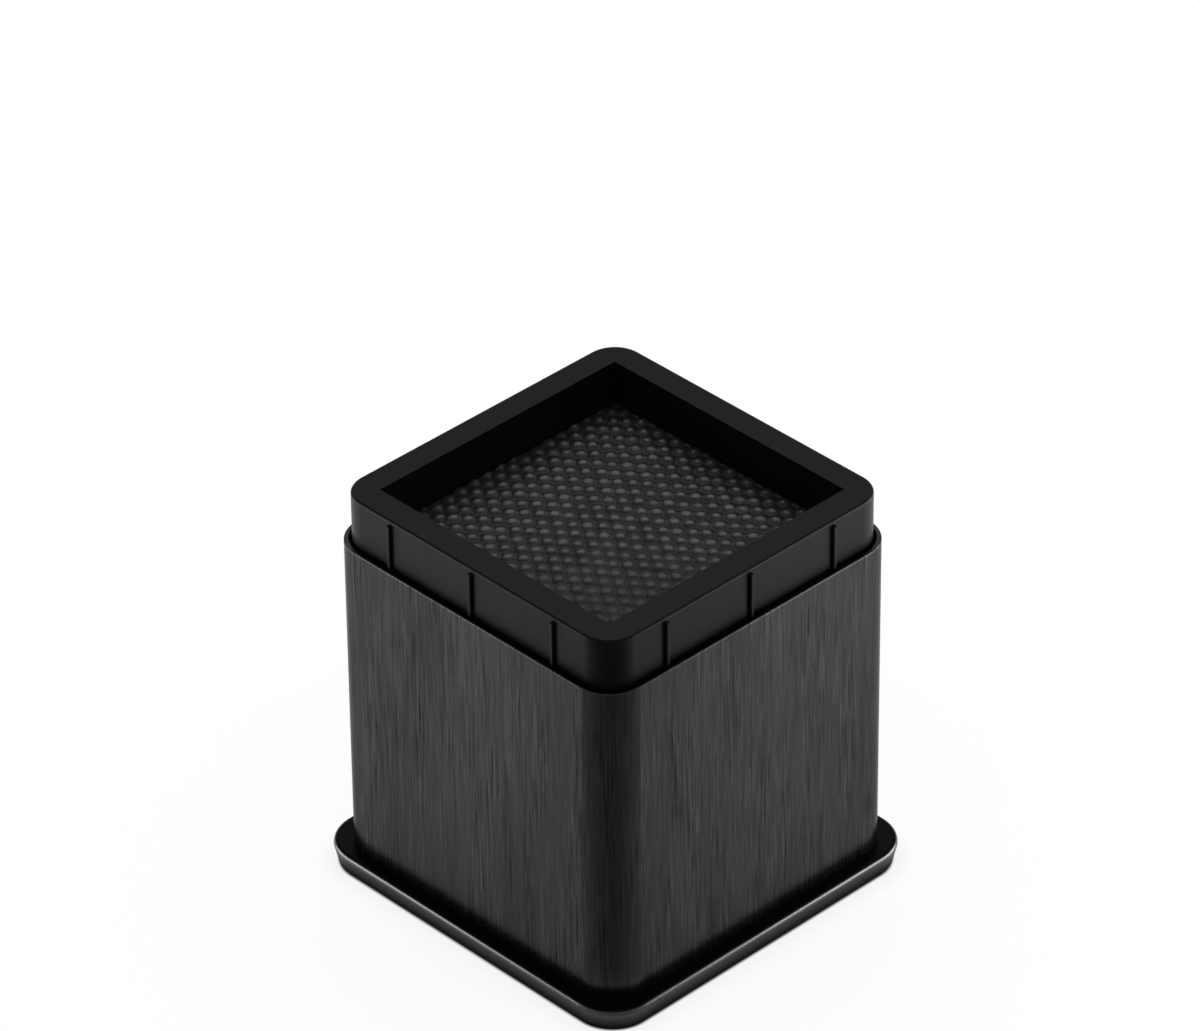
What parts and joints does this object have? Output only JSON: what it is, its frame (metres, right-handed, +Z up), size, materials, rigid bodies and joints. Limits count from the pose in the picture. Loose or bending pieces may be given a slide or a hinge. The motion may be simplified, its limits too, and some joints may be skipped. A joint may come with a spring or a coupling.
{
  "type": "bed riser",
  "caption": "Square furniture riser: a black moulded block with a padded leg recess, wrapped in a brushed steel sleeve on a flanged foot.",
  "frame": {"origin": "on the floor, under the middle of the riser", "axes": "+Z up, out of the leg recess; the four sides face along X and Y"},
  "size_m": [0.086, 0.086, 0.09],
  "materials": {
    "moulded_core": "satin black ABS, finely textured",
    "brushed_sleeve": "black steel, brushed vertically",
    "moulded_base": "satin black ABS",
    "grip_pad": "black foam rubber with small domes",
    "floor_pad": "black foam rubber",
    "screw_steel": "bright zinc plating"
  },
  "bodies": {
    "root": {"core": "moulded_core", "sleeve": "brushed_sleeve", "base": "moulded_base", "top_pad": "grip_pad", "bottom_pad": "floor_pad", "base_screws": "screw_steel"}
  },
  "joints": []
}
